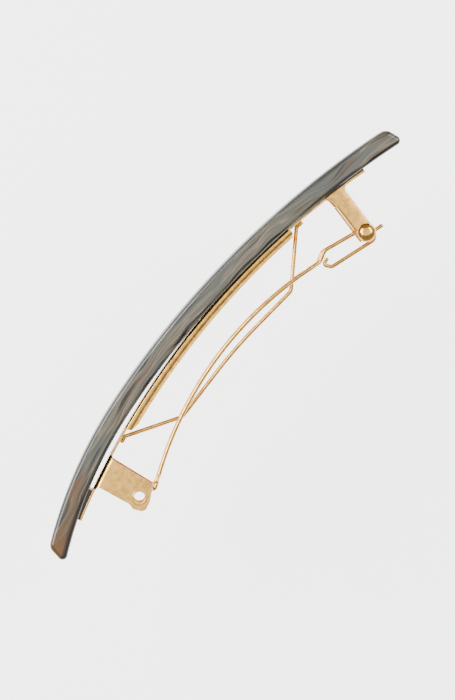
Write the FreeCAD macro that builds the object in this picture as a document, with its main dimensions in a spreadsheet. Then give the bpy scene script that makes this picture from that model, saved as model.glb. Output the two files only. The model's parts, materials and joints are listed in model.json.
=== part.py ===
import FreeCAD, Part
import math
import os

import Sketcher
from FreeCAD import Placement, Rotation, Vector

# A hair barrette: a bowed acetate bar glued onto a gilt spring clip.
# It lies on one long edge of the bar.  +X runs along the bar towards the hinge end, +Y points out of the
# bowed side and +Z runs across the width of the clip.  Millimetres throughout.
# While it is drawn, Y = 0 is near the line between the bar's ends and X = 0 is under the bar's crown.  At
# the end everything is moved together, so that the origin is the bottom centre of the whole barrette.

SIZES = (
    # the acetate bar, an even bow that tightens towards the catch end
    ("bar_width", 10.0),
    ("bar_thick", 3.7),
    ("bar_crown", 9.5),
    ("bar_bow", 178.0),
    ("bar_tight_bow", 90.0),
    ("bar_tight_from", -22.0),
    ("bar_catch_tip", -50.75),
    ("bar_hinge_tip", 49.25),
    ("bar_catch_slant", 2.6),
    ("bar_hinge_slant", 1.9),
    ("bar_outer_corner", 1.8),
    ("bar_inner_corner", 0.95),
    ("bar_edge_round", 0.8),
    # the clip base, one strip of sheet with everything folded down from its edges
    ("sheet", 0.45),
    ("strip_width", 7.0),
    ("strip_bow", 150.0),
    ("strip_crown", 5.65),
    ("strip_crown_at", 2.5),
    ("strip_catch_tip", -43.2),
    ("strip_hinge_tip", 40.9),
    ("flange_depth", 1.8),
    ("flange_catch_end", -24.4),
    ("flange_hinge_end", 23.2),
    # the catch bracket, drawn about its own hole
    ("hole_along", -32.8),
    ("hole_out", -7.3),
    ("catch_lean", 13.65),
    ("hole_radius", 1.1),
    ("rim_radius", 1.45),
    ("rim_height", 0.12),
    ("seat_radius", 0.5),
    # the hinge bracket, drawn about the rivet
    ("pin_along", 32.4),
    ("pin_out", -7.4),
    ("hinge_lean", -11.9),
    ("pin_radius", 0.45),
    ("pin_play", 0.03),
    ("lip_width", 0.95),
    # the rivet's two heads
    ("dome_radius", 1.75),
    ("dome_height", 1.15),
    ("dome_rim", 0.25),
    ("peen_radius", 0.9),
    ("peen_height", 0.4),
    ("head_play", 0.05),
    # the wires
    ("wire_radius", 0.4),
    ("arm_bow", 70.0),
    ("arm_spacing", 2.6),
    ("leg_spacing", 0.9),
    ("crossbar_half", 4.05),
    # the cement under the two ends of the strip
    ("glue_width", 6.2),
    ("glue_setback", 0.3),
    ("glue_catch_length", 5.3),
    ("glue_hinge_length", 10.1),
)

doc = FreeCAD.newDocument("barrette")
sheet = doc.addObject("Spreadsheet::Sheet", "Sizes")
for row, (alias, value) in enumerate(SIZES, start=1):
    sheet.set("A%d" % row, alias)
    sheet.set("B%d" % row, str(value))
    sheet.setAlias("B%d" % row, alias)
doc.recompute()


def size(alias):
    """The value of one driving dimension."""
    return float(sheet.get(alias))


def point(x, y, z=0.0):
    return Vector(x, y, z)


# ---------------------------------------------------------------- drawing helpers


def rounded(points, radii, closed=False):
    """Straight runs through the points, with a tangent arc of the given radius at each corner."""
    count = len(points)
    corners = range(count) if closed else range(1, count - 1)
    arrive, leave, arcs = list(points), list(points), {}
    for i in corners:
        if not radii[i]:
            continue
        back = (points[i - 1] - points[i]).normalize()
        ahead = (points[(i + 1) % count] - points[i]).normalize()
        half = back.getAngle(ahead) / 2
        reach = radii[i] / math.tan(half)
        arrive[i] = points[i] + back * reach
        leave[i] = points[i] + ahead * reach
        centre = points[i] + (back + ahead).normalize() * (radii[i] / math.sin(half))
        middle = centre + (points[i] - centre).normalize() * radii[i]
        arcs[i] = Part.Arc(arrive[i], middle, leave[i])
    edges = []
    for i in range(count):
        if i in arcs:
            edges.append(arcs[i])
        if closed or i < count - 1:
            edges.append(Part.LineSegment(leave[i], arrive[(i + 1) % count]))
    return edges


def arc_about(centre, radius, start, finish):
    """An arc between two angles, in degrees, measured from +Y towards +X."""
    angles = (start, (start + finish) / 2, finish)
    ends = [centre + point(math.sin(math.radians(a)), math.cos(math.radians(a))) * radius for a in angles]
    return Part.Arc(*ends)


def joined(*edges):
    """The given edges, with straight runs added between them to make one closed outline."""
    outline = []
    for i, edge in enumerate(edges):
        outline.append(edge)
        outline.append(Part.LineSegment(edge.EndPoint, edges[(i + 1) % len(edges)].StartPoint))
    return outline


def plane_of(body, role):
    """One of the body's own origin planes."""
    return next(f for f in body.Origin.OriginFeatures if f.Role == role)


def new_body(label):
    body = doc.addObject("PartDesign::Body", label)
    body.Label = label
    return body


def sketch_on(body, name, edges=(), role="XY_Plane", offset=None, lift=None):
    """A sketch on an origin plane: edges drawn end to end, their meeting points tied together."""
    sketch = body.newObject("Sketcher::SketchObject", name)
    sketch.AttachmentSupport = [(plane_of(body, role), "")]
    sketch.MapMode = "FlatFace"
    if offset:
        sketch.AttachmentOffset = offset
    if lift:
        sketch.setExpression("AttachmentOffset.Base.z", lift)
    for edge in edges:
        sketch.addGeometry(edge, False)
    ends = [(i, end, sketch.getPoint(i, end)) for i in range(len(edges)) for end in (1, 2)]
    while ends:
        index, end, place = ends.pop()
        for other in ends:
            if other[0] != index and place.distanceToPoint(other[2]) < 1e-6:
                sketch.addConstraint(Sketcher.Constraint("Coincident", index, end, other[0], other[1]))
                ends.remove(other)
                break
    return sketch


def bind(sketch, index, name, expression):
    """A named radius of one drawn edge, driven by the sheet."""
    geometry = sketch.Geometry[index]
    number = sketch.addConstraint(Sketcher.Constraint("Radius", index, geometry.Radius))
    sketch.renameConstraint(number, name)
    sketch.setExpression("Constraints." + name, expression)


def extrude(body, kind, name, sketch, length, reverse=False):
    """A Pad or a Pocket whose length is an expression on the sheet."""
    feature = body.newObject("PartDesign::" + kind, name)
    feature.Profile = sketch
    feature.setExpression("Length", length)
    feature.Reversed = reverse
    doc.recompute()
    return feature


def circle(x, y, radius):
    return Part.Circle(point(x, y), point(0, 0, 1), radius)


# ---------------------------------------------------------------- curves that several pieces share

BAR_CENTRE = point(0, size("bar_crown") - size("bar_bow"))
TIGHT_ANGLE = math.degrees(math.asin(size("bar_tight_from") / size("bar_bow")))
TIGHT_CENTRE = BAR_CENTRE + point(
    math.sin(math.radians(TIGHT_ANGLE)), math.cos(math.radians(TIGHT_ANGLE))
) * (size("bar_bow") - size("bar_tight_bow"))
STRIP_CENTRE = point(size("strip_crown_at"), size("strip_crown") - size("strip_bow"))
STRIP_LOW = "(Sizes.bar_width - Sizes.strip_width) / 2"
MIDDLE = size("bar_width") / 2


def angle_at(centre, radius, x):
    """The angle from +Y at which a circle reaches the given x."""
    return math.degrees(math.asin((x - centre.x) / radius))


def strip_arc(depth, start_x, finish_x):
    """A stretch of the strip's bow, the given depth below its outer face."""
    radius = size("strip_bow") - depth
    return arc_about(
        STRIP_CENTRE, radius, angle_at(STRIP_CENTRE, radius, start_x), angle_at(STRIP_CENTRE, radius, finish_x)
    )


def strip_height(x, depth):
    """The height of that line at one place along the strip."""
    radius = size("strip_bow") - depth
    return STRIP_CENTRE.y + math.sqrt(radius**2 - (x - STRIP_CENTRE.x) ** 2)


# ---------------------------------------------------------------- the acetate bar


def acetate_bar():
    body = new_body("acetate_bar")
    bow, tight, thick = size("bar_bow"), size("bar_tight_bow"), size("bar_thick")
    far = angle_at(BAR_CENTRE, bow, size("bar_hinge_tip"))
    near = angle_at(TIGHT_CENTRE, tight, size("bar_catch_tip"))
    # each end is cut on a slant, so that the clip's side of the bar is the longer one
    far_inside = far + math.degrees(size("bar_hinge_slant") / bow)
    near_inside = near - math.degrees(size("bar_catch_slant") / tight)
    outer_main = arc_about(BAR_CENTRE, bow, TIGHT_ANGLE, far)
    inner_main = arc_about(BAR_CENTRE, bow - thick, far_inside, TIGHT_ANGLE)
    inner_tight = arc_about(TIGHT_CENTRE, tight - thick, TIGHT_ANGLE, near_inside)
    outer_tight = arc_about(TIGHT_CENTRE, tight, near, TIGHT_ANGLE)
    edges = [
        outer_main,
        Part.LineSegment(outer_main.EndPoint, inner_main.StartPoint),
        inner_main,
        inner_tight,
        Part.LineSegment(inner_tight.EndPoint, outer_tight.StartPoint),
        outer_tight,
    ]
    sketch = sketch_on(body, "BarOutline", edges)
    bind(sketch, 0, "bow", "Sizes.bar_bow")
    bind(sketch, 2, "inner_bow", "Sizes.bar_bow - Sizes.bar_thick")
    bind(sketch, 5, "tight_bow", "Sizes.bar_tight_bow")
    pad = extrude(body, "Pad", "BarBlank", sketch, "Sizes.bar_width")

    def upright_edges(shape, outside):
        """The four upright edges of the ends: those of the bowed side, or those of the clip's side."""
        names = []
        for number, edge in enumerate(shape.Edges, start=1):
            low, high = edge.BoundBox.ZMin, edge.BoundBox.ZMax
            at = edge.BoundBox.Center
            tip = at.x < size("bar_catch_tip") + 3 or at.x > size("bar_hinge_tip") - 3
            if high - low < size("bar_width") / 2 or not tip:
                continue
            centre, radius = (TIGHT_CENTRE, tight) if at.x < 0 else (BAR_CENTRE, bow)
            on_outside = (at - centre - point(0, 0, at.z)).Length > radius - thick / 2
            if on_outside == outside:
                names.append("Edge%d" % number)
        return names

    base = pad
    for name, outside, expression in (
        ("OuterCorners", True, "Sizes.bar_outer_corner"),
        ("InnerCorners", False, "Sizes.bar_inner_corner"),
    ):
        corners = body.newObject("PartDesign::Fillet", name)
        corners.Base = (base, upright_edges(base.Shape, outside))
        corners.setExpression("Radius", expression)
        doc.recompute()
        base = corners
    rims = [
        "Edge%d" % number
        for number, edge in enumerate(base.Shape.Edges, start=1)
        if edge.BoundBox.ZLength < 1e-3
    ]
    round_over = body.newObject("PartDesign::Fillet", "SoftEdges")
    round_over.Base = (base, rims)
    round_over.setExpression("Radius", "Sizes.bar_edge_round")
    doc.recompute()
    return body


# ---------------------------------------------------------------- the clip base


def lean(along, out, angle):
    """Where a bracket's own drawing sits: about its hole, turned square to the strip."""
    return Placement(point(size(along), size(out)), Rotation(Vector(0, 0, 1), size(angle)))


def clip_base():
    body = new_body("clip_base")
    thin = size("sheet")
    wall_gap = "Sizes.strip_width - 2 * Sizes.sheet"
    wall_low = STRIP_LOW + " + Sizes.sheet"
    catch_place = lean("hole_along", "hole_out", "catch_lean")
    hinge_place = lean("pin_along", "pin_out", "hinge_lean")

    outer = strip_arc(0, size("strip_catch_tip"), size("strip_hinge_tip"))
    inner = strip_arc(thin, size("strip_hinge_tip"), size("strip_catch_tip"))
    strip = sketch_on(body, "StripOutline", joined(outer, inner), lift=STRIP_LOW)
    bind(strip, 0, "bow", "Sizes.strip_bow")
    extrude(body, "Pad", "Strip", strip, "Sizes.strip_width")

    # the folded side flanges that stiffen the middle of the strip, drawn from inside the sheet
    mid_sheet = strip_arc(thin / 2, size("flange_catch_end"), size("flange_hinge_end"))
    low_edge = strip_arc(size("flange_depth"), size("flange_hinge_end") - 0.8, size("flange_catch_end") + 1.6)
    flanges = sketch_on(body, "FlangeOutline", joined(mid_sheet, low_edge), lift=STRIP_LOW)
    extrude(body, "Pad", "Flanges", flanges, "Sizes.strip_width")

    # a broad catch ear: flared foot, seat corner, and a lug that bulges round the hole
    catch_points = [
        point(4.9, 8.4), point(4.02, 7.75), point(3.22, -1.46), point(1.6, -1.68), point(0.3, -2.1),
        point(-2.0, -2.15), point(-2.5, 0.1), point(-1.98, 1.0), point(-1.7, 7.75), point(-2.5, 8.4),
    ]
    catch_radii = [0, 0.7, 0.3, 1.5, 1.5, 1.1, 0.8, 0.6, 0.7, 0]
    catch = sketch_on(
        body, "CatchEar", rounded(catch_points, catch_radii, closed=True), offset=catch_place, lift=STRIP_LOW
    )
    extrude(body, "Pad", "CatchEars", catch, "Sizes.strip_width")

    # a narrow hinge ear: flared foot and a blunt tip just past the rivet
    hinge_points = [
        point(-2.6, 9.65), point(-1.7, 8.9), point(-1.6, -1.1), point(1.6, -1.1), point(1.65, 8.8), point(2.5, 9.65),
    ]
    hinge_radii = [0, 0.7, 0.25, 0.7, 0.8, 0]
    hinge = sketch_on(
        body, "HingeEar", rounded(hinge_points, hinge_radii, closed=True), offset=hinge_place, lift=STRIP_LOW
    )
    extrude(body, "Pad", "HingeEars", hinge, "Sizes.strip_width")

    # everything between the two folded walls is open, from the strip's under side downwards
    catch_end, hinge_end = size("strip_catch_tip") - 1, size("strip_hinge_tip") + 1
    below_ears = size("hole_out") - 7
    under = strip_arc(thin, catch_end, hinge_end)
    below = Part.LineSegment(point(hinge_end, below_ears), point(catch_end, below_ears))
    channel = sketch_on(body, "Channel", joined(under, below), lift=wall_low)
    extrude(body, "Pocket", "ChannelGap", channel, wall_gap, reverse=True)

    # a lip turned inwards along the centre-facing edge of each hinge ear
    lip_corners = [point(-1.62, 1.3), point(-1.17, 1.3), point(-1.17, 7.2), point(-1.66, 7.2)]
    for name, level in (
        ("LowLip", wall_low),
        ("HighLip", STRIP_LOW + " + Sizes.strip_width - Sizes.sheet - Sizes.lip_width"),
    ):
        outline = rounded(lip_corners, [0] * 4, closed=True)
        lip = sketch_on(body, name, outline, offset=hinge_place, lift=level)
        extrude(body, "Pad", name + "Fold", lip, "Sizes.lip_width")

    # the rivet's holes, the catch holes and the crossbar's shallow seats, each through both ears
    for name, place, at, radius in (
        ("PinHoles", hinge_place, (0, 0), "Sizes.pin_radius + Sizes.pin_play"),
        ("CatchHoles", catch_place, (0, 0), "Sizes.hole_radius"),
        ("CrossbarSeats", catch_place, (2.75, -1.8), "Sizes.seat_radius"),
    ):
        hole = sketch_on(body, name, [circle(at[0], at[1], 1.0)], offset=place, lift=STRIP_LOW)
        bind(hole, 0, "radius", radius)
        extrude(body, "Pocket", name + "Cut", hole, "Sizes.strip_width", reverse=True)

    # a raised rim round each catch hole, on the ear's outer face
    for name, level, down in (
        ("HighRim", STRIP_LOW + " + Sizes.strip_width", False),
        ("LowRim", STRIP_LOW, True),
    ):
        ring = sketch_on(body, name, [circle(0, 0, 1.4), circle(0, 0, 1.0)], offset=catch_place, lift=level)
        bind(ring, 0, "outside", "Sizes.rim_radius")
        bind(ring, 1, "inside", "Sizes.hole_radius")
        extrude(body, "Pad", name + "Raised", ring, "Sizes.rim_height", reverse=down)
    return body


# ---------------------------------------------------------------- the cement


def glue_pads():
    """Two pads of cement, each filling the gap between the strip's end and the bar."""
    body = new_body("glue_pads")
    catch_from = size("strip_catch_tip") + size("glue_setback")
    catch_to = catch_from + size("glue_catch_length")
    hinge_to = size("strip_hinge_tip") - size("glue_setback")
    hinge_from = hinge_to - size("glue_hinge_length")
    tight_inside = size("bar_tight_bow") - size("bar_thick")
    bow_inside = size("bar_bow") - size("bar_thick")
    edges = []
    for centre, radius, start, finish in (
        (TIGHT_CENTRE, tight_inside, catch_from, catch_to),
        (BAR_CENTRE, bow_inside, hinge_from, hinge_to),
    ):
        on_bar = arc_about(centre, radius, angle_at(centre, radius, start), angle_at(centre, radius, finish))
        edges += joined(on_bar, strip_arc(0, finish, start))
    sketch = sketch_on(body, "PadOutlines", edges, lift="(Sizes.bar_width - Sizes.glue_width) / 2")
    extrude(body, "Pad", "Cement", sketch, "Sizes.glue_width")
    return body


# ---------------------------------------------------------------- the hinge rivet


def hinge_rivet():
    """A rivet with a domed head above the upper ear and a small peened head under the lower one."""
    body = new_body("hinge_rivet")
    low = (size("bar_width") - size("strip_width")) / 2 - size("head_play")
    high = size("bar_width") - low
    shank, dome, peen = size("pin_radius"), size("dome_radius"), size("peen_radius")
    rim_top = high + size("dome_rim")
    dome_top = high + size("dome_height")
    # the dome is one arc from the rim to the crown on the axis
    rise = dome_top - rim_top
    dome_curve = (dome**2 + rise**2) / (2 * rise)
    half = math.asin(dome / dome_curve) / 2
    middle = point(dome_curve * math.sin(half), dome_top - dome_curve * (1 - math.cos(half)))
    corners = [
        point(0, dome_top), point(0, low - size("peen_height")), point(peen * 0.8, low - size("peen_height")),
        point(peen, low), point(shank, low), point(shank, high), point(dome, high), point(dome, rim_top),
    ]
    edges = [Part.LineSegment(a, b) for a, b in zip(corners, corners[1:])]
    edges.append(Part.Arc(corners[-1], middle, corners[0]))
    sketch = sketch_on(body, "RivetHalf", edges, role="XZ_Plane")
    turn = body.newObject("PartDesign::Revolution", "RivetTurned")
    turn.Profile = sketch
    turn.ReferenceAxis = (sketch, ["V_Axis"])
    turn.Angle = 360
    doc.recompute()
    body.Placement = Placement(point(size("pin_along"), size("pin_out")), Rotation())
    return body


# ---------------------------------------------------------------- the wires


def tension_bow():
    """The sprung wire that presses the hair up against the arm: two struts and an almost flat crown."""
    body = new_body("tension_bow")
    under = size("sheet") + size("wire_radius") + 0.02
    points = [
        point(-27.4, strip_height(-27.4, under)), point(-26.0, strip_height(-26.0, under)),
        point(-16.2, -3.75), point(0.0, -2.95), point(15.0, -3.95),
        point(24.8, strip_height(24.8, under)), point(26.3, strip_height(26.3, under)),
    ]
    edges = rounded(points, [0, 0.6, 0.8, 90.0, 1.3, 0.6, 0])
    spine = sketch_on(body, "BowPath", edges, lift="Sizes.bar_width / 2")
    doc.recompute()
    section = body.newObject("Sketcher::SketchObject", "BowSection")
    section.AttachmentSupport = [(spine, "Edge1")]
    section.MapMode = "NormalToEdge"
    section.MapPathParameter = 0.0
    section.addGeometry(circle(0, 0, 0.5), False)
    section.addConstraint(Sketcher.Constraint("Coincident", 0, 3, -1, 1))
    bind(section, 0, "radius", "Sizes.wire_radius")
    doc.recompute()
    pipe = body.newObject("PartDesign::AdditivePipe", "BowWire")
    pipe.Profile = section
    pipe.Spine = (spine, ["Edge%d" % (i + 1) for i in range(len(edges))])
    doc.recompute()
    return body


def wire_arm():
    """The arm, one bent wire: stub, leg, long bow, crossbar, long bow, leg, loop and curl."""
    high = size("arm_spacing") / 2
    leg = size("leg_spacing") / 2
    wide = size("crossbar_half")
    bow = size("arm_bow")
    route = [
        # the cut stub beyond the rivet, and the upper leg that lies on the rivet's strip side
        (35.7, -8.95, leg, 0), (33.35, -8.3, leg, 0.5), (33.35, -6.75, leg, 0.7), (24.9, -3.75, leg, 1.6),
        (22.6, -4.47, leg, 1.5),
        # the arm's upper wire, its shoulder, and the crossbar that sits on both catch ears
        (20.7, -3.94, high, 1.5), (-4.06, 3.01, high, bow), (-27.7, -7.62, high, 0.7),
        (-28.6, -7.95, wide, 0.5), (-29.75, -8.4, wide, 0.5),
        (-29.75, -8.4, -wide, 0.5), (-28.6, -7.95, -wide, 0.5),
        # the lower wire back to the fork
        (-27.7, -7.62, -high, 0.7), (-4.06, 3.01, -high, bow), (20.7, -3.94, -high, 1.5),
        (22.3, -4.39, -leg, 1.5), (24.5, -3.61, -leg, 1.6),
        # round the rivet, back along the lower leg and up into the curl inside the fork
        (33.75, -6.9, -leg, 0.9), (33.35, -9.85, -leg, 1.25), (23.5, -6.85, -leg, 0.9),
        (22.75, -5.5, -leg, 0.45), (23.85, -5.12, -leg, 0.45), (23.85, -5.12, leg * 2, 0),
    ]
    points = [point(x, y, MIDDLE + across) for x, y, across, _ in route]
    radii = [radius for _, _, _, radius in route]
    path = Part.Wire([edge.toShape() for edge in rounded(points, radii)])
    section = Part.Wire(
        Part.Circle(points[0], (points[1] - points[0]).normalize(), size("wire_radius")).toShape()
    )
    feature = doc.addObject("Part::Feature", "wire_arm")
    feature.Shape = path.makePipeShell([section], True, False)
    feature.Label = "wire_arm"
    expected = math.pi * size("wire_radius") ** 2 * path.Length
    print("wire_arm: length %.1f mm, volume %.2f, section times length %.2f"
          % (path.Length, feature.Shape.Volume, expected))
    return feature


# ---------------------------------------------------------------- build, place, check and export

nodes = [acetate_bar(), clip_base(), glue_pads(), hinge_rivet(), tension_bow(), wire_arm()]
doc.recompute()

whole = FreeCAD.BoundBox()
for node in nodes:
    whole.add(node.Shape.optimalBoundingBox(False))
shift = point(-whole.Center.x, -whole.Center.y, -whole.ZMin)
for node in nodes:
    node.Placement = Placement(shift, Rotation()).multiply(node.Placement)
doc.recompute()

for thing in doc.Objects:
    if "Invalid" in thing.State or "Error" in thing.State:
        raise RuntimeError("%s failed: %s" % (thing.Label, thing.State))
for node in nodes:
    if node.Shape.isNull() or not node.Shape.isValid():
        raise RuntimeError("%s has no valid shape" % node.Label)

os.makedirs("parts", exist_ok=True)
for node in nodes:
    node.Shape.exportStep("parts/%s.step" % node.Label)
    box = node.Shape.optimalBoundingBox(False)
    print("%-12s solids %d  volume %8.2f  x %.2f..%.2f  y %.2f..%.2f  z %.2f..%.2f" % (
        node.Label, len(node.Shape.Solids), node.Shape.Volume,
        box.XMin, box.XMax, box.YMin, box.YMax, box.ZMin, box.ZMax))
print("moved by %.4f, %.4f, %.4f" % (shift.x, shift.y, shift.z))
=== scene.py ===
import json
import math

import bpy
from mathutils import Matrix, Vector


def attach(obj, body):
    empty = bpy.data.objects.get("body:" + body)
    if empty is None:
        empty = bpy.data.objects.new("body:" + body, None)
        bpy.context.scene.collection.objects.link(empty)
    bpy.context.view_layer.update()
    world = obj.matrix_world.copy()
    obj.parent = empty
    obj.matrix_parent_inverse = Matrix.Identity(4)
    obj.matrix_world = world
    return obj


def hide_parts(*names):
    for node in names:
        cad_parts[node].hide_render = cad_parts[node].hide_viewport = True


bl_info = {
    "name": "Barrette with wire clasp",
    "version": (1, 0, 0),
    "blender": (4, 5, 0),
    "location": "View3D > Sidebar > Barrette",
    "description": "Models a bowed acetate barrette and its gilt wire clip around the packed frame",
    "category": "Add Mesh",
}

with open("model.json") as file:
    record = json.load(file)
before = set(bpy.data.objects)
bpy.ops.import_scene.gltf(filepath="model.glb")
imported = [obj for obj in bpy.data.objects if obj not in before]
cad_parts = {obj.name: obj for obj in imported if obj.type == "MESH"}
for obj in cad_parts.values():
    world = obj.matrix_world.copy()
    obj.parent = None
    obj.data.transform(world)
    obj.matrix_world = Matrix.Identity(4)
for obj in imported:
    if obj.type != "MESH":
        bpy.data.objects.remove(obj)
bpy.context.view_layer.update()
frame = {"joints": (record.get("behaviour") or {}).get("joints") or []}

# Pieces are drawn in millimetres about the same point as the design: Y = 0 near the line between the bar's
# ends and X = 0 under its crown.  finish_piece() then moves them to the frame's own origin, in metres.
MM = 0.001
PIN = Vector((32.4, -7.4))
PIN_IN_FRAME = Vector(frame["joints"][0]["pos_m"]) / MM
ORIGIN = Vector((PIN_IN_FRAME.x - PIN.x, PIN_IN_FRAME.y - PIN.y, 0.0))


# ---------------------------------------------------------------- sizes and colours a user may change


def length(name, description, default):
    """A length property; the default is given in millimetres."""
    return bpy.props.FloatProperty(
        name=name, description=description, default=default * MM, precision=5, unit="LENGTH", subtype="DISTANCE"
    )


def colour(name, description, default):
    return bpy.props.FloatVectorProperty(
        name=name, description=description, default=default, size=3, min=0.0, max=1.0, subtype="COLOR"
    )


def factor(name, description, default):
    return bpy.props.FloatProperty(name=name, description=description, default=default, min=0.0, subtype="FACTOR")


class BarSizes(bpy.types.PropertyGroup):
    """The acetate bar."""

    width: length("Width", "Width of the bar across the clip", 10.0)
    thickness: length("Thickness", "Thickness of the acetate", 3.7)
    crown: length("Crown", "Height of the bowed face over the bar's ends", 9.5)
    bow: length("Bow radius", "Radius of the bowed face along most of the bar", 178.0)
    tight_bow: length("Tight bow radius", "Radius of the bowed face towards the catch end", 90.0)
    tight_from: length("Tight bow start", "Where along the bar the tighter bow starts", -22.0)
    catch_tip: length("Catch tip", "Where the bowed face ends past the catch", -50.75)
    hinge_tip: length("Hinge tip", "Where the bowed face ends past the hinge", 49.25)
    catch_slant: length("Catch slant", "How much longer the clip's side is at the catch end", 2.6)
    hinge_slant: length("Hinge slant", "How much longer the clip's side is at the hinge end", 1.9)
    outer_corner: length("Outer corner", "Radius of the tips on the bowed side", 1.8)
    inner_corner: length("Inner corner", "Radius of the tips on the clip's side", 0.95)
    edge_round: length("Edge radius", "Rounding of the bar's long edges", 0.8)


class ClipSizes(bpy.types.PropertyGroup):
    """The folded sheet base and its rivet."""

    sheet: length("Sheet", "Thickness of the gilt sheet", 0.45)
    fold: length("Ear fold", "Outer radius where the ears fold down", 1.1)
    curl: length("Flange curl", "Outer radius where the side flanges curl down", 0.5)
    width: length("Strip width", "Width of the strip over its folded walls", 7.0)
    bow: length("Strip bow", "Radius of the strip's outer face", 150.0)
    crown: length("Strip crown", "Height of the strip's outer face at its crown", 5.65)
    crown_at: length("Crown place", "Where along the barrette the strip's crown is", 2.5)
    catch_tip: length("Catch tip", "Where the strip ends past the catch", -43.2)
    hinge_tip: length("Hinge tip", "Where the strip ends past the hinge", 40.9)
    flange_depth: length("Flange depth", "How far the side flanges hang below the strip's outer face", 1.8)
    catch_hole: length("Catch hole", "Radius of the holes in the catch ears", 1.1)
    catch_rim: length("Catch rim", "Outer radius of the raised rim round those holes", 1.45)
    pin_radius: length("Rivet radius", "Radius of the hinge rivet's shank", 0.45)
    dome_radius: length("Dome radius", "Radius of the rivet's domed head", 1.75)
    dome_height: length("Dome height", "Height of the rivet's domed head", 1.15)


class WireSizes(bpy.types.PropertyGroup):
    """The clasp arm and the tension bow."""

    radius: length("Wire radius", "Half of the wire's thickness", 0.4)
    arm_bow: length("Arm bow", "Radius of the arm's long bow", 70.0)
    arm_spacing: length("Arm spacing", "Distance between the middles of the arm's two wires", 2.6)
    leg_spacing: length("Leg spacing", "Distance between the middles of the two upper legs", 0.9)
    crossbar: length("Crossbar half", "Half of the crossbar's length", 4.05)


class Finishes(bpy.types.PropertyGroup):
    """Colours of the acetate and of the gilt parts."""

    olive: colour("Olive", "Main grey olive of the acetate", (0.080, 0.072, 0.046))
    slate: colour("Slate", "Blue grey streaks in the acetate", (0.050, 0.062, 0.062))
    taupe: colour("Taupe", "Pale streaks in the acetate", (0.150, 0.120, 0.080))
    # this near-black brown is also the painted shade over the bar's rounded edges
    bark_and_edge_shade: colour("Bark", "Near-black brown streaks in the acetate", (0.010, 0.006, 0.004))
    navy: colour("Navy", "Near-black blue band at the catch end", (0.008, 0.011, 0.016))
    rust: colour("Rust", "Orange swirls in the acetate", (0.100, 0.033, 0.004))
    amber: colour("Amber", "Yellow brown swirls in the acetate", (0.085, 0.048, 0.009))
    gilt: colour("Gilt", "Colour of the gilt sheet and wire", (0.830, 0.470, 0.115))
    cement: colour("Cement", "Colour of the dried cement", (0.018, 0.010, 0.007))
    floor: colour("Floor", "Colour of the floor", (0.93, 0.93, 0.92))


class StudioSettings(bpy.types.PropertyGroup):
    """The camera and the lights."""

    distance: length("Camera distance", "From the camera to the clip", 480.0)
    view_height: length("View height", "Height of the view at the clip", 130.6)
    lean: bpy.props.FloatProperty(
        name="Camera lean", description="How far the camera leans over the bowed side",
        default=math.radians(3.0), subtype="ANGLE",
    )
    roll: bpy.props.FloatProperty(
        name="Bar slope", description="Slope of the bar in the view", default=math.radians(49.5), subtype="ANGLE"
    )
    key: factor("Key light", "Power of the large soft light, in watts", 7.0)
    fill: factor("Fill light", "Power of the smaller soft light, in watts", 2.5)
    glow: factor("Floor glow", "How strongly the lit floor shines by itself", 2.8)
    drop: length("Floor drop", "How far below the barrette the floor lies", 45.0)
    top: factor("Top light", "Power of the soft light over the camera, in watts", 1.5)
    sky: factor("Surround", "Strength of the room's light", 0.45)


GROUPS = (
    ("barrette_bar", BarSizes), ("barrette_clip", ClipSizes), ("barrette_wires", WireSizes),
    ("barrette_finishes", Finishes), ("barrette_studio", StudioSettings),
)


class Sizes:
    """The lengths of one property group, read in millimetres."""

    def __init__(self, group):
        self.group = group

    def __getattr__(self, name):
        return getattr(self.group, name) / MM


def bar_sizes():
    return Sizes(bpy.context.scene.barrette_bar)


def clip_sizes():
    return Sizes(bpy.context.scene.barrette_clip)


def wire_sizes():
    return Sizes(bpy.context.scene.barrette_wires)


# ---------------------------------------------------------------- drawing


def polar(centre, radius, angle):
    """A point on a circle, the angle measured from +Y towards +X."""
    return Vector((centre.x + radius * math.sin(angle), centre.y + radius * math.cos(angle)))


def angle_at(centre, radius, x):
    """The angle at which a circle reaches the given x."""
    return math.asin((x - centre.x) / radius)


def arc(centre, radius, start, finish, steps):
    return [polar(centre, radius, start + (finish - start) * i / steps) for i in range(steps + 1)]


def plain(points):
    """The points as corners that stay sharp."""
    return [(point, 0.0) for point in points]


def rounded(corners, closed=True, steps=8):
    """A line through the corners, each a place and the radius of the arc that stands for it; 0 keeps it sharp."""
    points = [place for place, _ in corners]
    count, path = len(points), []
    for i, (corner, radius) in enumerate(corners):
        if not radius or (not closed and i in (0, count - 1)):
            path.append(corner.copy())
            continue
        back = (points[i - 1] - corner).normalized()
        ahead = (points[(i + 1) % count] - corner).normalized()
        half = back.angle(ahead) / 2
        start = corner + back * (radius / math.tan(half))
        centre = corner + (back + ahead).normalized() * (radius / math.sin(half))
        inward = (start - centre).normalized()
        sweep = math.pi - 2 * half
        # a large, long arc gets more points than a tight one
        turns = max(steps, int(math.degrees(sweep) * math.sqrt(radius) / 6))
        for k in range(turns + 1):
            turn = sweep * k / turns
            path.append(centre + (inward * math.cos(turn) - back * math.sin(turn)) * radius)
    return path


def bar_bows():
    """The middles of the bar's two bows, and the angle at which the one runs into the other."""
    bar = bar_sizes()
    centre = Vector((0.0, bar.crown - bar.bow))
    turn = angle_at(centre, bar.bow, bar.tight_from)
    return centre, polar(centre, bar.bow - bar.tight_bow, turn), turn


def strip_centre():
    clip = clip_sizes()
    return Vector((clip.crown_at, clip.crown - clip.bow))


def strip_curve(depth, start_x, finish_x, steps):
    """A stretch of the strip's bow, the given depth below its outer face."""
    centre, radius = strip_centre(), clip_sizes().bow - depth
    return arc(centre, radius, angle_at(centre, radius, start_x), angle_at(centre, radius, finish_x), steps)


def strip_height(x, depth):
    centre, radius = strip_centre(), clip_sizes().bow - depth
    return centre.y + math.sqrt(radius**2 - (x - centre.x) ** 2)


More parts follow.
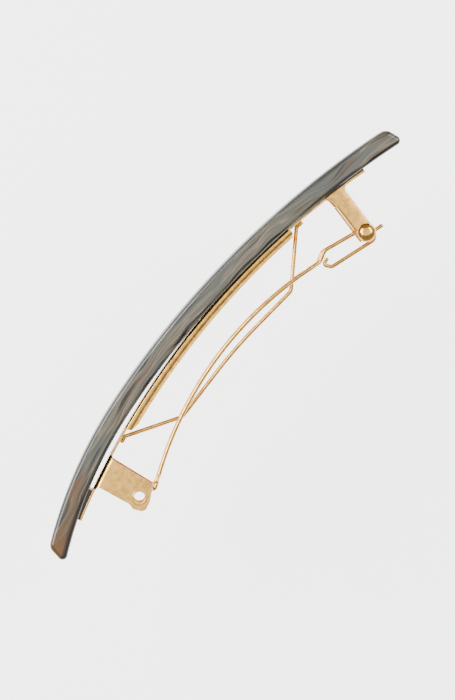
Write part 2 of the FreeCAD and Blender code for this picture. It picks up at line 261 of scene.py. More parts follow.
class Bracket:
    """A bracket's own drawing: its hole is the origin and it is turned square to the strip."""

    def __init__(self, x, y, lean):
        self.origin = Vector((x, y))
        self.turn = Matrix.Rotation(math.radians(lean), 2)

    def at(self, u, v):
        return self.origin + self.turn @ Vector((u, v))


CATCH = Bracket(-32.8, -7.3, 13.65)
HINGE = Bracket(PIN.x, PIN.y, -11.9)

# Overlap between touching solids, so that no two faces lie on each other
OVERLAP = 0.02
# Radial play of the rivet in its holes
PIN_PLAY = 0.03
# Cutting shapes reach from under the bar to over it
CUT_LOW, CUT_HIGH = -1.0, 11.0


# ---------------------------------------------------------------- modelling by operator


def deselect():
    if bpy.context.object and bpy.context.object.mode != "OBJECT":
        bpy.ops.object.mode_set(mode="OBJECT")
    bpy.ops.object.select_all(action="DESELECT")


def activate(piece):
    deselect()
    piece.select_set(True)
    bpy.context.view_layer.objects.active = piece


def in_edit_mode(piece, *steps):
    """Run edit-mode steps on everything in a piece; each step is an operator and its settings."""
    activate(piece)
    bpy.ops.object.mode_set(mode="EDIT")
    bpy.ops.mesh.select_all(action="SELECT")
    for operator, settings in steps:
        operator(**settings)
    bpy.ops.object.mode_set(mode="OBJECT")


def tidy_mesh(piece, threshold=0.0005):
    in_edit_mode(
        piece,
        (bpy.ops.mesh.remove_doubles, {"threshold": threshold}),
        (bpy.ops.mesh.normals_make_consistent, {"inside": False}),
    )


def curve_piece(name, loops, closed):
    """A curve object whose splines follow the given points; a fourth number is the wire's local thickness."""
    deselect()
    bpy.ops.curve.primitive_bezier_circle_add()
    piece = bpy.context.object
    piece.name = name
    curve = piece.data
    curve.splines.clear()
    curve.dimensions = "2D" if closed else "3D"
    for loop in loops:
        spline = curve.splines.new("POLY")
        spline.points.add(len(loop) - 1)
        for target, place in zip(spline.points, loop):
            target.co = (place[0], place[1], place[2] if len(place) > 2 else 0.0, 1.0)
            target.radius = place[3] if len(place) > 3 else 1.0
        spline.use_cyclic_u = closed
    return piece


def to_mesh(piece, name):
    activate(piece)
    bpy.ops.object.convert(target="MESH")
    piece = bpy.context.object
    piece.name = piece.data.name = name
    return piece


def flat_solid(name, loops, low, high, rounding=0.0, steps=5):
    """A closed solid that stands on flat outlines, from low to high across the clip."""
    piece = curve_piece(name, loops, closed=True)
    curve = piece.data
    curve.fill_mode = "BOTH"
    curve.extrude = (high - low) / 2 - rounding
    curve.bevel_depth = rounding
    curve.bevel_resolution = steps
    curve.offset = -rounding
    piece = to_mesh(piece, name)
    in_edit_mode(piece, (bpy.ops.transform.translate, {"value": (0, 0, (low + high) / 2)}))
    tidy_mesh(piece)
    return piece


def wire_end(tip, inner, radius):
    """The slightly domed cut end of a wire, from its middle out to the full thickness."""
    inward = (inner - tip).normalized()
    dome = []
    for step in range(1, 6):
        angle = math.radians(18 * step)
        place = tip + inward * radius * 0.6 * (1 - math.cos(angle))
        dome.append((*place, math.sin(angle)))
    return dome


def wire_solid(name, route, radius):
    """A round wire along the route, with both of its ends cut."""
    start, finish = wire_end(route[0], route[1], radius), wire_end(route[-1], route[-2], radius)
    path = start + [(*place, 1.0) for place in route[1:-1]] + finish[::-1]
    piece = curve_piece(name, [path], closed=False)
    curve = piece.data
    curve.bevel_depth = radius
    curve.bevel_resolution = 6
    curve.use_fill_caps = True
    curve.twist_mode = "MINIMUM"
    piece = to_mesh(piece, name)
    tidy_mesh(piece, threshold=0.002)
    return piece


def combine(piece, tool, operation):
    """One boolean step, after which the tool is gone."""
    activate(piece)
    modifier = piece.modifiers.new(operation.lower(), "BOOLEAN")
    modifier.operation = operation
    modifier.object = tool
    modifier.solver = "EXACT"
    bpy.ops.object.modifier_apply(modifier=modifier.name)
    activate(tool)
    bpy.ops.object.delete()
    activate(piece)


def finish_piece(piece, body, node, finish, smooth_angle=35.0):
    """Move a finished drawing into the frame, dress it, and hide the CAD node it stands for."""
    if not piece.data.polygons:
        raise RuntimeError("%s came out empty" % piece.name)
    in_edit_mode(
        piece,
        (bpy.ops.transform.translate, {"value": ORIGIN}),
        (bpy.ops.transform.resize, {"value": (MM, MM, MM), "center_override": (0, 0, 0)}),
    )
    activate(piece)
    bpy.ops.object.shade_smooth_by_angle(angle=math.radians(smooth_angle))
    piece.data.materials.clear()
    piece.data.materials.append(finish)
    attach(piece, body)
    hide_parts(node)


# ---------------------------------------------------------------- finishes


class Finish:
    """A node material being put together."""

    def __init__(self, name):
        self.material = bpy.data.materials.new(name)
        self.material.use_nodes = True
        self.tree = self.material.node_tree
        self.shader = self.tree.nodes["Principled BSDF"]

    def add(self, kind, **settings):
        node = self.tree.nodes.new(kind)
        for name, value in settings.items():
            setattr(node, name, value)
        return node

    def link(self, source, target):
        self.tree.links.new(source, target)

    def place(self):
        return self.add("ShaderNodeTexCoord").outputs["Object"]

    def separated(self, place):
        node = self.add("ShaderNodeSeparateXYZ")
        self.link(place, node.inputs["Vector"])
        return node.outputs

    def combined(self, *values):
        node = self.add("ShaderNodeCombineXYZ")
        for socket, value in zip(node.inputs, values):
            self.link(value, socket)
        return node.outputs["Vector"]

    def squared(self, value):
        return self.math("MULTIPLY", value, value)

    def math(self, operation, first, second=None):
        node = self.add("ShaderNodeMath", operation=operation)
        for socket, value in zip(node.inputs, (first, second)):
            if value is None:
                continue
            if isinstance(value, (int, float)):
                socket.default_value = value
            else:
                self.link(value, socket)
        return node.outputs[0]

    def stretched(self, source, scale):
        """Coordinates scaled differently along, across and over the piece."""
        node = self.add("ShaderNodeMapping")
        node.inputs["Scale"].default_value = scale
        self.link(source, node.inputs["Vector"])
        return node.outputs["Vector"]

    def noise(self, source, scale, detail=3.0, roughness=0.5, distortion=0.0):
        node = self.add("ShaderNodeTexNoise")
        node.inputs["Scale"].default_value = scale
        node.inputs["Detail"].default_value = detail
        node.inputs["Roughness"].default_value = roughness
        node.inputs["Distortion"].default_value = distortion
        self.link(source, node.inputs["Vector"])
        return node.outputs["Fac"]

    def band(self, value, low, high, out_low=0.0, out_high=1.0):
        """Spread a value's range from low..high to out_low..out_high, held at both ends."""
        node = self.add("ShaderNodeMapRange", clamp=True)
        node.interpolation_type = "SMOOTHSTEP"
        for socket, number in zip(list(node.inputs)[1:5], (low, high, out_low, out_high)):
            socket.default_value = number
        self.link(value, node.inputs["Value"])
        return node.outputs["Result"]

    def ramp(self, value, stops):
        node = self.add("ShaderNodeValToRGB")
        ramp = node.color_ramp
        ramp.interpolation = "EASE"
        while len(ramp.elements) < len(stops):
            ramp.elements.new(0.5)
        for element, (position, tint) in zip(ramp.elements, stops):
            element.position = position
            element.color = (*tint, 1.0)
        self.link(value, node.inputs["Fac"])
        return node.outputs["Color"]

    def mix(self, amount, first, second):
        node = self.add("ShaderNodeMix", data_type="RGBA")
        for socket, value in ((node.inputs["Factor"], amount), (node.inputs[6], first), (node.inputs[7], second)):
            if isinstance(value, bpy.types.NodeSocket):
                self.link(value, socket)
            elif isinstance(value, (int, float)):
                socket.default_value = value
            else:
                socket.default_value = (*value, 1.0)
        return node.outputs[2]

    def bump(self, height, strength, distance):
        node = self.add("ShaderNodeBump")
        node.inputs["Strength"].default_value = strength
        node.inputs["Distance"].default_value = distance
        self.link(height, node.inputs["Height"])
        self.link(node.outputs["Normal"], self.shader.inputs["Normal"])

    def set(self, name, value):
        socket = self.shader.inputs[name]
        if isinstance(value, bpy.types.NodeSocket):
            self.link(value, socket)
        elif isinstance(value, (int, float)):
            socket.default_value = value
        else:
            socket.default_value = (*value, 1.0)


def finishes():
    return bpy.context.scene.barrette_finishes


# How finely each layer of the marbling varies along, out of and across the bar, per metre
FOLDS_GRAIN = (60, 110, 110)
STREAKS_GRAIN = (38, 780, 210)
VEINS_GRAIN = (30, 1900, 400)
WARM_GRAIN = (45, 640, 160)
FLECKS_GRAIN = (95, 800, 300)
# Along the bar, in metres: where the warm colours fade out, and where the streaks start to sweep outwards
CATCH_END = (-0.047, -0.030)
SWEEP_FROM = -0.0335
# Half the difference between the curvatures of the bar's two bows, per metre, and where it sets in
TIGHT_BEND, TIGHT_LAG = 2.7, 2


def bar_level(finish, along, out):
    """Height over the bow, in metres: nought along the middle of the bar's thickness."""
    bar = bar_sizes()
    drop = finish.math("MULTIPLY", finish.squared(along), 0.5 / (bar.bow * MM))
    middle = (bar.crown - bar.thickness / 2 + ORIGIN.y) * MM
    level = finish.math("SUBTRACT", finish.math("ADD", out, drop), middle)
    tight_from = (bar.tight_from + TIGHT_LAG + ORIGIN.x) * MM
    past_tight = finish.math("MINIMUM", finish.math("SUBTRACT", along, tight_from), 0.0)
    return finish.math("ADD", level, finish.math("MULTIPLY", finish.squared(past_tight), TIGHT_BEND))


def folded_level(finish, along, level, folds):
    """Slow folds push the streaks about, and at the catch end they all sweep out to the bowed side."""
    push = finish.math("MULTIPLY", finish.math("SUBTRACT", folds, 0.5), 0.0050)
    level = finish.math("ADD", level, push)
    past_swirl = finish.math("MINIMUM", finish.math("ADD", along, -SWEEP_FROM), 0.0)
    sweep = finish.math("MULTIPLY", finish.squared(past_swirl), 9.0)
    return finish.math("SUBTRACT", level, sweep)


def cool_streaks(finish, flow):
    """The grey, slate and taupe streaks with their fine pale and dark veins."""
    tints = finishes()
    streaks = finish.noise(
        finish.stretched(flow, STREAKS_GRAIN), 1.0, detail=3.0, roughness=0.55, distortion=0.25
    )
    base = finish.ramp(finish.band(streaks, 0.33, 0.67), (
        (0.0, tints.bark_and_edge_shade), (0.14, tints.slate), (0.30, tints.olive), (0.42, tints.slate), (0.52, tints.olive),
        (0.64, tints.taupe), (0.80, tints.olive), (1.0, tints.bark_and_edge_shade),
    ))
    veins = finish.noise(finish.stretched(flow, VEINS_GRAIN), 1.0, detail=2.0)
    base = finish.mix(finish.band(veins, 0.57, 0.68, 0.0, 0.55), base, tints.taupe)
    return finish.mix(finish.band(veins, 0.43, 0.34, 0.0, 0.85), base, tints.bark_and_edge_shade)


def warm_swirls(finish, base, flow, level, near_catch):
    """Rust and amber: sweeping bands at the catch end, and a few flecks elsewhere."""
    tints = finishes()
    warm = finish.noise(finish.stretched(flow, WARM_GRAIN), 1.0, detail=2.0, distortion=0.4)
    base = finish.mix(finish.math("MULTIPLY", finish.band(warm, 0.40, 0.56), near_catch), base, tints.amber)
    base = finish.mix(finish.math("MULTIPLY", finish.band(warm, 0.53, 0.62), near_catch), base, tints.rust)
    for where, half_width, tint in ((0.00035, 0.00030, tints.navy), (-0.00045, 0.00028, tints.rust)):
        away = finish.math("ABSOLUTE", finish.math("SUBTRACT", level, where))
        stripe = finish.band(away, half_width * 0.4, half_width * 1.2, 0.9, 0.0)
        base = finish.mix(finish.math("MULTIPLY", stripe, near_catch), base, tint)
    flecks = finish.noise(finish.stretched(flow, FLECKS_GRAIN), 1.0, detail=1.0)
    return finish.mix(finish.band(flecks, 0.62, 0.72, 0.0, 0.75), base, tints.rust)


def marbled_acetate():
    """Streaks that run along the bow, drawn out of layered clouds, with rust swirls at the catch end."""
    finish = Finish("marbled_acetate")
    place = finish.place()
    along, out, across = finish.separated(place)
    level = bar_level(finish, along, out)
    depth = finish.math("MULTIPLY", level, 2 / (bar_sizes().thickness * MM))
    near_catch = finish.band(along, *CATCH_END, 1.0, 0.0)

    folds = finish.noise(finish.stretched(place, FOLDS_GRAIN), 1.0, detail=2.0)
    level = folded_level(finish, along, level, folds)
    flow = finish.combined(along, level, across)
    base = warm_swirls(finish, cool_streaks(finish, flow), flow, level, near_catch)

    # painted shade: the side darkens to near-black brown over both rounded edges, where they turn from the light, in
    # lines broken by the folds
    edge_nearness = finish.math("ADD", finish.math("ABSOLUTE", depth), finish.band(folds, 0.3, 0.7, -0.16, 0.16))
    base = finish.mix(finish.band(edge_nearness, 0.60, 0.92, 0.0, 0.9), base, finishes().bark_and_edge_shade)

    finish.set("Base Color", base)
    finish.set("Roughness", finish.band(edge_nearness, 0.65, 0.95, 0.18, 0.42))
    finish.set("Coat Weight", 0.1)
    finish.set("Coat Roughness", 0.1)
    finish.bump(finish.noise(place, 700.0, detail=2.0), 0.05, 0.0001)
    return finish.material


# What is left of each channel of the gilt where its wash of gold is thin
THIN_WASH = (0.68, 0.68 * 0.96, 0.68 * 0.88)


def gilt(name, roughness, grain, grain_scale):
    """Gilt metal: an uneven wash of gold over a fine grain."""
    gold = tuple(finishes().gilt)
    finish = Finish(name)
    place = finish.place()
    cloud = finish.noise(place, 900.0, detail=4.0, roughness=0.6)
    fine = finish.noise(place, grain_scale, detail=3.0, roughness=0.6)
    shade = tuple(channel * share for channel, share in zip(gold, THIN_WASH))
    finish.set("Base Color", finish.mix(finish.band(cloud, 0.35, 0.65), shade, gold))
    finish.set("Metallic", 1.0)
    finish.set("Roughness", finish.band(fine, 0.3, 0.7, roughness * 0.8, roughness * 1.25))
    finish.bump(fine, grain, 0.00006)
    return finish.material


def dried_cement():
    finish = Finish("dried_cement")
    place = finish.place()
    lumps = finish.noise(place, 1200.0, detail=4.0)
    tint = tuple(finishes().cement)
    finish.set("Base Color", finish.mix(finish.band(lumps, 0.3, 0.7), tint, tuple(c * 2.2 for c in tint)))
    finish.set("Roughness", 0.32)
    finish.bump(lumps, 0.4, 0.0001)
    return finish.material


# ---------------------------------------------------------------- the pieces


class BARRETTE_OT_acetate_bar(bpy.types.Operator):
    """Model the bowed acetate bar with its softened edges"""

    bl_idname = "barrette.acetate_bar"
    bl_label = "Acetate bar"

    def execute(self, context):
        bar = bar_sizes()
        centre, tight_centre, turn = bar_bows()
        thick = bar.thickness
        far = angle_at(centre, bar.bow, bar.hinge_tip)
        near = angle_at(tight_centre, bar.tight_bow, bar.catch_tip)
        far_inside = far + bar.hinge_slant / bar.bow
        near_inside = near - bar.catch_slant / bar.tight_bow
        outer = arc(tight_centre, bar.tight_bow, near, turn, 40)[:-1] + arc(centre, bar.bow, turn, far, 90)
        inner = arc(centre, bar.bow - thick, far_inside, turn, 90)[:-1]
        inner += arc(tight_centre, bar.tight_bow - thick, turn, near_inside, 40)
        corners = []
        for side, radius in ((outer, bar.outer_corner), (inner, bar.inner_corner)):
            # the points next to each tip are left out, so that its rounding has room
            corners += [(side[0], radius)] + plain(side[3:-3]) + [(side[-1], radius)]
        outline = rounded(corners, steps=10)
        piece = flat_solid("acetate_bar_shaped", [outline], 0.0, bar.width, rounding=bar.edge_round, steps=7)
        finish_piece(piece, "base", "acetate_bar", marbled_acetate(), smooth_angle=50.0)
        return {"FINISHED"}


def inset(points, distance):
    """An open line moved sideways, to the right of its own direction."""
    sides = []
    for start, end in zip(points, points[1:]):
        along = (end - start).normalized()
        aside = Vector((along.y, -along.x)) * distance
        sides.append((start + aside, end + aside))
    moved = [sides[0][0]]
    for (a, b), (c, d) in zip(sides, sides[1:]):
        first, second = b - a, d - c
        moved.append(a + first * ((c - a).cross(second) / first.cross(second)))
    return moved + [sides[-1][1]]


def lay_section(name, places):
    """A flat face drawn through the given places."""
    deselect()
    bpy.ops.mesh.primitive_circle_add(vertices=len(places), radius=1.0, fill_type="NGON")
    piece = bpy.context.object
    piece.name = piece.data.name = name
    for vertex, place in zip(piece.data.vertices, places):
        vertex.co = place
    return piece


def folded_channel(name, right_side):
    """Sheet folded down along both edges and swung along the strip's bow.

    The right side is drawn from its free edge up to the fold: across and up from the strip's outer face, and
    the radius of each corner.
    """
    clip, centre, middle = clip_sizes(), strip_centre(), bar_sizes().width / 2
    outside = [Vector((-x, y)) for x, y, _ in right_side] + [Vector((x, y)) for x, y, _ in right_side[::-1]]
    outside_radii = [radius for _, _, radius in right_side + right_side[::-1]]
    inside_radii = [max(radius - clip.sheet, 0.0) for radius in outside_radii]
    corners = list(zip(outside, outside_radii)) + list(zip(inset(outside, clip.sheet), inside_radii))[::-1]
    # one millimetre more than the strip at either end, to be cut off
    start = angle_at(centre, clip.bow, clip.catch_tip - 1)
    sweep = angle_at(centre, clip.bow, clip.hinge_tip + 1) - start
    places = []
    for across, height in rounded(corners):
        place = polar(centre, clip.bow + height, start)
        places.append((place.x, place.y, middle + across))
    piece = lay_section(name, places)
    in_edit_mode(piece, (bpy.ops.mesh.spin, {
        "steps": 120, "angle": sweep, "center": (centre.x, centre.y, 0), "axis": (0, 0, 1),
    }))
    tidy_mesh(piece)
    return piece


# Along the barrette: where each pair of ears leaves the strip, and where the strip's plain stretches stop and
# start again between its tips, clear of the ears' folds and of the flanges
CATCH_FOLD = (-37.3, -29.9)
HINGE_FOLD = (31.8, 36.8)
STRIP_BREAKS = (-37.0, -30.2, -24.5, 23.2, 32.1, 36.5)
# The ears from the side, in their bracket's own drawing: place and corner radius
CATCH_EAR = (
    (4.02, 8.1, 0.7), (3.22, -1.46, 0.3), (1.6, -1.68, 1.5), (0.3, -2.1, 1.5), (-2.0, -2.15, 1.1),
    (-2.5, 0.1, 0.8), (-1.98, 1.0, 0.6), (-1.7, 8.1, 0.7),
)
HINGE_EAR = (
    (1.66, 9.02, 0.9), (1.6, -1.1, 0.7), (-1.6, -1.1, 0.25), (-1.6, 1.2, 0.1), (-1.3, 1.35, 0.1),
    (-1.3, 7.15, 0.1), (-1.5, 7.25, 0.1), (-1.66, 9.1, 0.9),
)
# The shallow seat that the crossbar rests in: radius, then its place from the catch hole
CROSSBAR_SEAT = (0.5, 2.75, -1.8)
# How deep the walls are folded before the ears are cut out of them
WALL_DEPTH = 15.0
# The flange's free edge and the corner above it, as far in from the strip's side, height and radius
FLANGE_CURL = ((1.4, -2.3, 0.0), (0.0, -1.05, 0.85))
# The flange from the side: the ends of its top and bottom edges, and its corners as place, depth and radius
FLANGE_TOP, FLANGE_FOOT = (-24.8, 23.5), (21.8, -22.4)
FLANGE_HINGE_CORNERS = ((23.4, 0.9, 0.4), (22.9, 1.78, 0.5))
FLANGE_CATCH_CORNERS = ((-24.2, 1.3, 0.5),)
# The hinge ear's lip: its edge and the strip it covers, from the rivet, and how far it is folded in
LIP_EDGE, LIP_INSIDE, LIP_ROOT = -1.62, -1.17, -1.1
LIP_LOW, LIP_HIGH, LIP_REACH = 1.4, 7.1, 0.95


def ear_outline(bracket, fold, corners):
    """One ear from its side: along the strip, then round the ear."""
    start, end = fold
    sheet, step = clip_sizes().sheet, 0.3
    line = plain(strip_curve(0.0, start, end, 12) + strip_curve(sheet, end, end - step, 1))
    line += [(bracket.at(u, v), radius) for u, v, radius in corners]
    line += plain(strip_curve(sheet, start + step, start, 1))
    return rounded(line, steps=6)


def flange_corners(corners):
    return [(Vector((x, strip_height(x, depth))), radius) for x, depth, radius in corners]


def flange_outline():
    line = plain(strip_curve(0.0, *FLANGE_TOP, 60)) + flange_corners(FLANGE_HINGE_CORNERS)
    line += plain(strip_curve(clip_sizes().flange_depth, *FLANGE_FOOT, 60)) + flange_corners(FLANGE_CATCH_CORNERS)
    return rounded(line, steps=6)


def ring_of(bracket, radius, u=0.0, v=0.0, steps=48):
    middle = bracket.at(u, v)
    return [polar(middle, radius, math.tau * i / steps) for i in range(steps)]


class BARRETTE_OT_clip_base(bpy.types.Operator):
    """Fold the gilt clip base: strip, flanges, catch ears and hinge ears"""

    bl_idname = "barrette.clip_base"
    bl_label = "Clip base"

    def execute(self, context):
        clip = clip_sizes()
        middle, half = bar_sizes().width / 2, clip.width / 2
        piece = self.folded_ears(clip, middle - half, middle + half)
        self.add_flanges(piece, clip)
        self.add_stretches(piece, clip, middle - half, middle + half)
        for side in (-1, 1):
            face = middle + side * half
            self.add_lip(piece, face, side)
            self.add_rim(piece, face, side)
        tidy_mesh(piece, threshold=0.002)
        finish_piece(
            piece, "base", "clip_base", gilt("gilt_sheet", 0.24, 0.25, 5200.0), smooth_angle=30.0
        )
        return {"FINISHED"}

    def folded_ears(self, clip, low, high):
        """The ears, cut out of a deep folded channel and then pierced."""
        half = clip.width / 2
        piece = folded_channel("clip_base_folded", [(half, -WALL_DEPTH, 0.0), (half, 0.0, clip.fold)])
        ears = [ear_outline(CATCH, CATCH_FOLD, CATCH_EAR), ear_outline(HINGE, HINGE_FOLD, HINGE_EAR)]
        softened = flat_solid("ears", ears, low - OVERLAP, high + OVERLAP, rounding=0.17, steps=3)
        combine(piece, softened, "INTERSECT")
        holes = (
            ring_of(CATCH, clip.catch_hole), ring_of(HINGE, clip.pin_radius + PIN_PLAY), ring_of(CATCH, *CROSSBAR_SEAT)
        )
        for hole in holes:
            combine(piece, flat_solid("hole", [hole], CUT_LOW, CUT_HIGH), "DIFFERENCE")
        return piece

    def add_flanges(self, piece, clip):
        """The side flanges, curled down and under along the middle of the strip."""
        half = clip.width / 2
        curled = [(half - tuck, height, radius) for tuck, height, radius in FLANGE_CURL]
        flanges = folded_channel("flanges", curled + [(half, 0.0, clip.curl)])
        combine(flanges, flat_solid("flange_sides", [flange_outline()], CUT_LOW, CUT_HIGH), "INTERSECT")
        combine(piece, flanges, "UNION")

    def add_stretches(self, piece, clip, low, high):
        """The plain stretches of the strip between its tips, its ears and its flanges."""
        stops = (clip.catch_tip, *STRIP_BREAKS, clip.hinge_tip)
        for start, end in zip(stops[::2], stops[1::2]):
            line = strip_curve(0.0, start, end, 12) + strip_curve(clip.sheet, end, start, 12)
            combine(piece, flat_solid("strip", [line], low, high, rounding=0.1, steps=2), "UNION")

    def add_lip(self, piece, face, side):
        """The lip folded inwards along a hinge ear's centre-facing edge."""
        sheet = clip_sizes().sheet
        back = face - side * sheet
        edge = face - side * (sheet + LIP_REACH)
        section = (
            (LIP_ROOT, face, 0.0), (LIP_EDGE, face, 0.42), (LIP_EDGE, edge, 0.1), (LIP_INSIDE, edge, 0.1),
            (LIP_INSIDE, back, 0.0), (LIP_ROOT, back, 0.0),
        )
        places = []
        for u, z in rounded([(Vector((u, z)), radius) for u, z, radius in section], steps=6):
            foot = HINGE.at(u, LIP_LOW)
            places.append((foot.x, foot.y, z))
        lip = lay_section("lip", places)
        rise = HINGE.at(0.0, LIP_HIGH) - HINGE.at(0.0, LIP_LOW)
        in_edit_mode(lip, (bpy.ops.mesh.extrude_region_move, {
            "TRANSFORM_OT_translate": {"value": (rise.x, rise.y, 0.0)},
        }))
        tidy_mesh(lip)
        combine(piece, lip, "UNION")

    def add_rim(self, piece, face, side):
        """The raised rim round a catch hole."""
        clip = clip_sizes()
        low, high = sorted((face - side * 0.1, face + side * 0.12))
        loops = [ring_of(CATCH, clip.catch_rim), ring_of(CATCH, clip.catch_hole)]
        combine(piece, flat_solid("rim", loops, low, high, rounding=0.08, steps=2), "UNION")


# The two beads of cement: past the strip's catch tip and up to this far inside it, and from here along the
# barrette to past the hinge tip
CATCH_BEAD = (-0.15, 5.6)
HINGE_BEAD_FROM, HINGE_BEAD_PAST = 30.5, 0.1
# The cement's reach across the bar
CEMENT_LOW, CEMENT_HIGH = 1.85, 8.15


class BARRETTE_OT_cement(bpy.types.Operator):
    """Fill the gaps under the strip's two ends with dried cement"""

    bl_idname = "barrette.cement"
    bl_label = "Cement"

    def execute(self, context):
        bar, clip = bar_sizes(), clip_sizes()
        centre, tight_centre, _ = bar_bows()
        past, inside = CATCH_BEAD
        beads = []
        for about, bow, start_x, finish_x in (
            (tight_centre, bar.tight_bow, clip.catch_tip + past, clip.catch_tip + inside),
            (centre, bar.bow, HINGE_BEAD_FROM, clip.hinge_tip + HINGE_BEAD_PAST),
        ):
            radius = bow - bar.thickness
            start, finish = angle_at(about, radius, start_x), angle_at(about, radius, finish_x)
            outline = arc(about, radius + OVERLAP, start, finish, 24) + strip_curve(0.03, finish_x, start_x, 24)
            beads.append(flat_solid("bead", [outline], CEMENT_LOW, CEMENT_HIGH))
        activate(beads[0])
        beads[1].select_set(True)
        bpy.ops.object.join()
        piece = bpy.context.object
        piece.name = piece.data.name = "cement_beads"
        finish_piece(piece, "base", "glue_pads", dried_cement())
        return {"FINISHED"}


# The rivet's peened tail, the upright edge of its dome and the share of the dome that is struck flat
TAIL_RADIUS, TAIL_HEIGHT = 0.9, 0.4
DOME_EDGE, DOME_FLAT = 0.42, 0.62


class BARRETTE_OT_hinge_rivet(bpy.types.Operator):
    """Turn the hinge rivet with its domed head and its peened tail"""

    bl_idname = "barrette.hinge_rivet"
    bl_label = "Hinge rivet"

    def execute(self, context):
        piece = to_mesh(curve_piece("rivet_half", [self.profile()], closed=False), "hinge_rivet_domed")
        in_edit_mode(
            piece,
            (bpy.ops.mesh.spin, {"steps": 72, "angle": math.tau, "center": (0, 0, 0), "axis": (0, 0, 1)}),
            (bpy.ops.mesh.select_all, {"action": "SELECT"}),
            (bpy.ops.transform.translate, {"value": (PIN.x, PIN.y, 0.0)}),
        )
        tidy_mesh(piece, threshold=0.004)
        self.planish(piece)
        finish_piece(
            piece, "pivot", "hinge_rivet", gilt("gilt_rivet", 0.17, 0.12, 3500.0), smooth_angle=40.0
        )
        return {"FINISHED"}

    def shoulders(self):
        """The heights at which the tail and the dome sit, just clear of the ears."""
        low = (bar_sizes().width - clip_sizes().width) / 2 - 0.05
        return low, bar_sizes().width - low

    def profile(self):
        """Half of the rivet, from its tail up to its dome, standing on the axis."""
        clip = clip_sizes()
        low, high = self.shoulders()
        shank, dome, top = clip.pin_radius, clip.dome_radius, high + clip.dome_height
        corners = (
            (0.0, low - TAIL_HEIGHT, 0.0), (TAIL_RADIUS, low - TAIL_HEIGHT, 0.3), (TAIL_RADIUS, low, 0.05),
            (shank, low, 0.05), (shank, high, 0.05), (dome, high, 0.08), (dome, high + DOME_EDGE, 0.35),
            (dome * DOME_FLAT, top, 1.5), (0.0, top, 0.0),
        )
        path = rounded([(Vector((out, z)), radius) for out, z, radius in corners], closed=False)
        return [(p.x, 0.0, p.y) for p in path]

    def planish(self, piece):
        """Leave the dome a little uneven, as a struck head is."""
        _, high = self.shoulders()
        for vertex in piece.data.vertices:
            if vertex.co.z < high + 0.2:
                continue
            u, v = vertex.co.x - PIN.x, vertex.co.y - PIN.y
            wave = math.sin(3.1 * u + 1.2) * math.cos(2.6 * v - 0.7) + 0.5 * math.sin(5.3 * v + 2.1 * u)
            vertex.co.z -= 0.035 * (1 + wave)


class BARRETTE_OT_tension_bow(bpy.types.Operator):
    """Bend the sprung wire bow that presses hair against the arm"""

    bl_idname = "barrette.tension_bow"
    bl_label = "Tension bow"

    def execute(self, context):
        wires, middle = wire_sizes(), bar_sizes().width / 2
        under = clip_sizes().sheet + wires.radius + OVERLAP
        corners = (
            # the foot at the catch end and its strut
            (-27.4, strip_height(-27.4, under), 0.0), (-26.0, strip_height(-26.0, under), 0.6),
            # the long bow between its two struts
            (-16.2, -3.75, 0.8), (0.0, -2.95, 90.0), (15.0, -3.95, 1.3),
            # the foot at the hinge end
            (24.8, strip_height(24.8, under), 0.6), (26.3, strip_height(26.3, under), 0.0),
        )
        path = rounded([(Vector((x, y, middle)), radius) for x, y, radius in corners], closed=False)
        piece = wire_solid("tension_bow_bent", path, wires.radius)
        finish_piece(piece, "base", "tension_bow", gilt("gilt_bow", 0.2, 0.15, 4000.0))
        return {"FINISHED"}


def arm_route():
    """The arm as one bent wire, from its cut stub to the curl inside the fork: places and corner radii."""
    wires = wire_sizes()
    high, leg, wide, bow = wires.arm_spacing / 2, wires.leg_spacing / 2, wires.crossbar, wires.arm_bow
    return [
        # the cut stub beyond the rivet, and the upper leg that lies on the rivet's strip side
        (35.7, -8.95, leg, 0), (33.35, -8.3, leg, 0.5), (33.35, -6.75, leg, 0.7), (24.9, -3.75, leg, 1.6),
        (22.6, -4.47, leg, 1.5),
        # the arm's upper wire, its shoulder, and the crossbar that sits on both catch ears
        (20.7, -3.94, high, 1.5), (-4.06, 3.01, high, bow), (-27.7, -7.62, high, 0.7),
        (-28.6, -7.95, wide, 0.5), (-29.75, -8.4, wide, 0.5),
        (-29.75, -8.4, -wide, 0.5), (-28.6, -7.95, -wide, 0.5),
        # the lower wire back to the fork
        (-27.7, -7.62, -high, 0.7), (-4.06, 3.01, -high, bow), (20.7, -3.94, -high, 1.5),
        (22.3, -4.39, -leg, 1.5), (24.5, -3.61, -leg, 1.6),
        # round the rivet, back along the lower leg and up into the curl inside the fork
        (33.75, -6.9, -leg, 0.9), (33.35, -9.85, -leg, 1.25), (23.5, -6.85, -leg, 0.9),
        (22.75, -5.5, -leg, 0.45), (23.85, -5.12, -leg, 0.45), (23.85, -5.12, leg * 2, 0),
    ]


class BARRETTE_OT_wire_arm(bpy.types.Operator):
    """Bend the clasp arm, with its crossbar, its loop round the rivet and its curl"""

    bl_idname = "barrette.wire_arm"
    bl_label = "Wire arm"

    def execute(self, context):
        middle = bar_sizes().width / 2
        corners = [(Vector((x, y, middle + across)), radius) for x, y, across, radius in arm_route()]
        piece = wire_solid("wire_arm_bent", rounded(corners, closed=False), wire_sizes().radius)
        finish_piece(piece, "arm", "wire_arm", gilt("gilt_arm", 0.2, 0.15, 4000.0))
        return {"FINISHED"}


# ---------------------------------------------------------------- the stage


# The soft lights, in metres: name, place, side, and the setting that holds the power
LIGHTS = (
    ("key_soft", (-0.15, 0.42, 0.42), 0.40, "key"),
    ("fill_soft", (0.35, -0.10, 0.50), 0.30, "fill"),
    ("top_soft", (0.0, 0.06, 0.75), 0.55, "top"),
)
LIT_POINT = Vector((0.0, 0.0, 0.005))
# The middle of the view, in the drawing's millimetres, and the height of the camera's sensor
VIEW_MIDDLE = Vector((-1.17, -1.88, 8.5))
SENSOR = 24.0


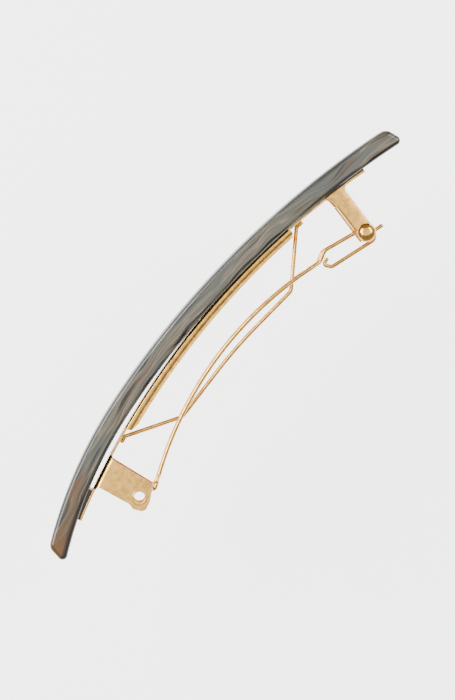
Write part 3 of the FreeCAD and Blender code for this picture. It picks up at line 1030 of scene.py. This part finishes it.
def pale_floor():
    finish = Finish("pale_floor")
    finish.set("Base Color", tuple(finishes().floor))
    finish.set("Emission Color", tuple(finishes().floor))
    finish.set("Emission Strength", bpy.context.scene.barrette_studio.glow)
    finish.set("Roughness", 0.9)
    finish.set("Specular IOR Level", 0.1)
    return finish.material


def soft_light(name, place, side, power):
    deselect()
    bpy.ops.object.light_add(type="AREA", location=place)
    light = bpy.context.object
    light.name = name
    light.data.shape = "SQUARE"
    light.data.size = side
    light.data.energy = power
    light.rotation_euler = (LIT_POINT - Vector(place)).to_track_quat("-Z", "Y").to_euler()


class BARRETTE_OT_studio(bpy.types.Operator):
    """Set the pale floor, the soft lights and the camera"""

    bl_idname = "barrette.studio"
    bl_label = "Studio"

    def execute(self, context):
        studio = context.scene.barrette_studio
        deselect()
        bpy.ops.mesh.primitive_plane_add(size=3.0, location=(0, 0, -studio.drop))
        floor = bpy.context.object
        floor.name = "floor"
        floor.data.materials.append(pale_floor())

        for name, place, side, power in LIGHTS:
            soft_light(name, place, side, getattr(studio, power))
        world = bpy.data.worlds.new("room")
        world.use_nodes = True
        surround = world.node_tree.nodes["Background"].inputs
        surround["Color"].default_value = (1.0, 1.0, 1.0, 1.0)
        surround["Strength"].default_value = studio.sky
        context.scene.world = world
        self.add_camera(context, studio)
        return {"FINISHED"}

    def add_camera(self, context, studio):
        """Look down along the clip's hinge, leaning a little over the bowed side."""
        aim = (VIEW_MIDDLE + ORIGIN) * MM
        back = Vector((0.0, math.sin(studio.lean), math.cos(studio.lean)))
        right = Vector((math.cos(studio.roll), -math.sin(studio.roll), 0.0))
        right = (right - back * right.dot(back)).normalized()
        up = back.cross(right)
        deselect()
        bpy.ops.object.camera_add(location=aim + back * studio.distance)
        camera = bpy.context.object
        camera.name = "view_camera"
        turned = Matrix((right, up, back)).transposed().to_4x4()
        camera.matrix_world = Matrix.Translation(aim + back * studio.distance) @ turned
        camera.data.sensor_fit = "VERTICAL"
        camera.data.sensor_height = SENSOR
        camera.data.lens = SENSOR * studio.distance / studio.view_height
        camera.data.clip_start = 0.01
        context.scene.camera = camera


PIECES = (
    BARRETTE_OT_acetate_bar, BARRETTE_OT_clip_base, BARRETTE_OT_cement, BARRETTE_OT_hinge_rivet,
    BARRETTE_OT_tension_bow, BARRETTE_OT_wire_arm, BARRETTE_OT_studio,
)


class BARRETTE_PT_panel(bpy.types.Panel):
    """The barrette's pieces, sizes and colours."""

    bl_label = "Barrette"
    bl_idname = "BARRETTE_PT_panel"
    bl_space_type = "VIEW_3D"
    bl_region_type = "UI"
    bl_category = "Barrette"

    def draw(self, context):
        for piece in PIECES:
            self.layout.operator(piece.bl_idname)
        for name, group in GROUPS:
            box = self.layout.box()
            box.label(text=group.__doc__)
            for prop in group.__annotations__:
                box.prop(getattr(context.scene, name), prop)


def register():
    for name, group in GROUPS:
        bpy.utils.register_class(group)
        setattr(bpy.types.Scene, name, bpy.props.PointerProperty(type=group))
    for cls in PIECES + (BARRETTE_PT_panel,):
        bpy.utils.register_class(cls)


def unregister():
    for cls in reversed(PIECES + (BARRETTE_PT_panel,)):
        bpy.utils.unregister_class(cls)
    for name, group in reversed(GROUPS):
        delattr(bpy.types.Scene, name)
        bpy.utils.unregister_class(group)


def main():
    register()
    for piece in PIECES:
        group, action = piece.bl_idname.split(".")
        getattr(getattr(bpy.ops, group), action)()


if __name__ == "__main__":
    main()
